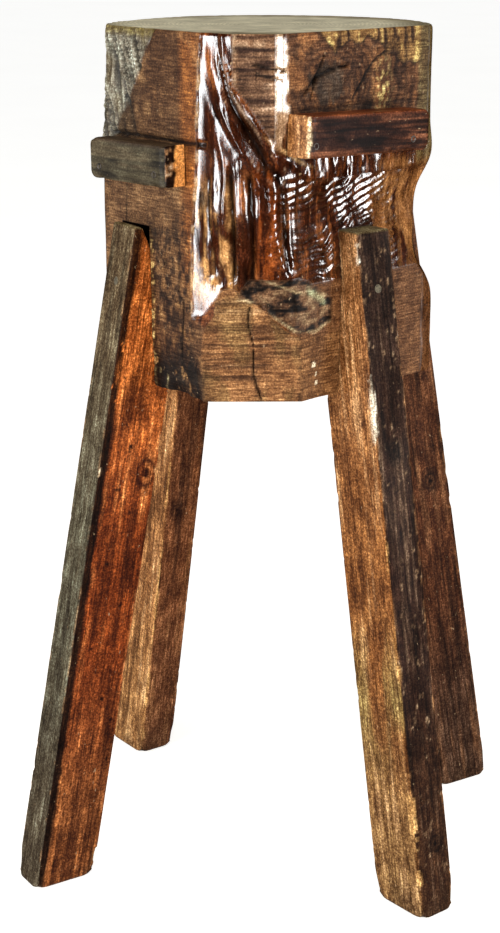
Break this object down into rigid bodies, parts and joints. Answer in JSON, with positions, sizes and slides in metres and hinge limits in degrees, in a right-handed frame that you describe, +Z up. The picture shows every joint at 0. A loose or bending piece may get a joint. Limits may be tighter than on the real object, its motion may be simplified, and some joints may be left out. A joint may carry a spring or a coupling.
{
  "type": "log block table",
  "caption": "Rustic side table: an upright varnished log whose sawn end is the top, on splayed square-edged legs let into notches, with short grip bars on its front faces.",
  "frame": {"origin": "on the floor under the middle of the table's bounding box", "axes": "+Z up along the log, front is -Y, +X to the right seen from the front"},
  "size_m": [0.42, 0.3734, 0.78],
  "materials": {
    "varnished_log": "thick gloss varnish over dark brown natural wood, with matte sawn flats and a bare pale sawn top",
    "stained_timber": "worn red-brown stain on dressed softwood, chipped along the edges",
    "weathered_bar": "grey-brown weathered stain, matte",
    "dark_bar": "near-black brown stain, satin",
    "zinc_steel": "plain zinc-plated wood screw, hidden under its filler",
    "filler": "grey-green wood filler, matte",
    "nail_steel": "dull bare steel, darkened"
  },
  "bodies": {
    "root": {"log_block": "varnished_log", "leg_front_left": "stained_timber", "leg_front_right": "stained_timber", "leg_back_left": "stained_timber", "leg_back_right": "stained_timber", "leg_screw_front_left": "zinc_steel", "leg_screw_front_right": "zinc_steel", "leg_screw_back_left": "zinc_steel", "leg_screw_back_right": "zinc_steel", "screw_plug_front_left": "filler", "screw_plug_front_right": "filler", "screw_plug_back_left": "filler", "screw_plug_back_right": "filler", "grip_bar_left": "weathered_bar", "grip_bar_right": "dark_bar", "bar_nail_left_near": "nail_steel", "bar_nail_left_far": "nail_steel", "bar_nail_right_near": "nail_steel", "bar_nail_right_far": "nail_steel"}
  },
  "joints": []
}
